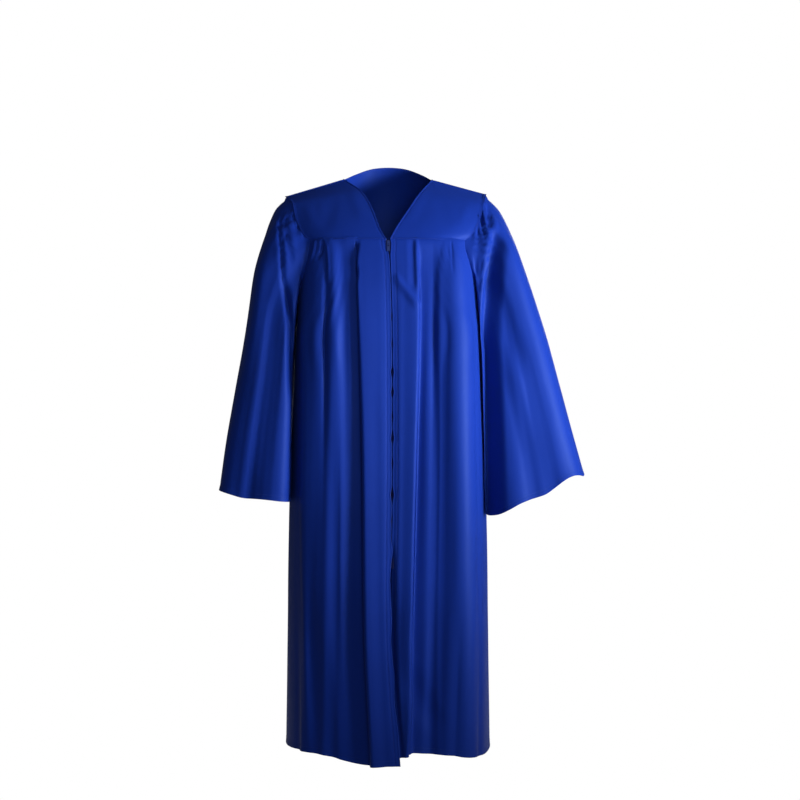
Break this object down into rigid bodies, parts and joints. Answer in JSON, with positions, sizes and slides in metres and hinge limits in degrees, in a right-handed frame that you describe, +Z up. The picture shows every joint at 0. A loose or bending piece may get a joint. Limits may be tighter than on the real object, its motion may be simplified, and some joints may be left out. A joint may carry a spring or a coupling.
{
  "type": "graduation gown",
  "caption": "Long pleated graduation gown with a yoke, a front zip and wide bell sleeves, standing open and empty in its worn shape.",
  "frame": {"origin": "midway between the two shoulder points, at the height of the shoulder line, where the wearer's shoulders carry the gown", "axes": "+Z up, from hem to neck; +X to the wearer's left; the front with the zip faces -Y"},
  "size_m": [0.8324, 0.3569, 1.348],
  "materials": {
    "gown_cloth": "royal blue polyester satin weave with a soft sheen",
    "zip_tape": "woven zip tape dyed to the gown's blue",
    "zip_chain": "dyed nylon coil",
    "zip_metal": "blue lacquered zinc slider and pull tab"
  },
  "bodies": {
    "gown": {"back": "gown_cloth", "back_yoke": "gown_cloth", "front_left": "gown_cloth", "front_right": "gown_cloth", "front_yoke_left": "gown_cloth", "front_yoke_right": "gown_cloth", "sleeve_left": "gown_cloth", "sleeve_right": "gown_cloth", "zip_tape_left": "zip_tape", "zip_tape_right": "zip_tape", "zip_chain": "zip_chain", "zip_slider": "zip_metal"},
    "pull": {"zip_pull": "zip_metal"}
  },
  "joints": [
    {"name": "pull_swing", "type": "hinge", "parent": "gown", "child": "pull", "pos_m": [0.0018, -0.12272, -0.13559], "axis": [-1, 0, 0], "range_deg": [0, 150]}
  ]
}
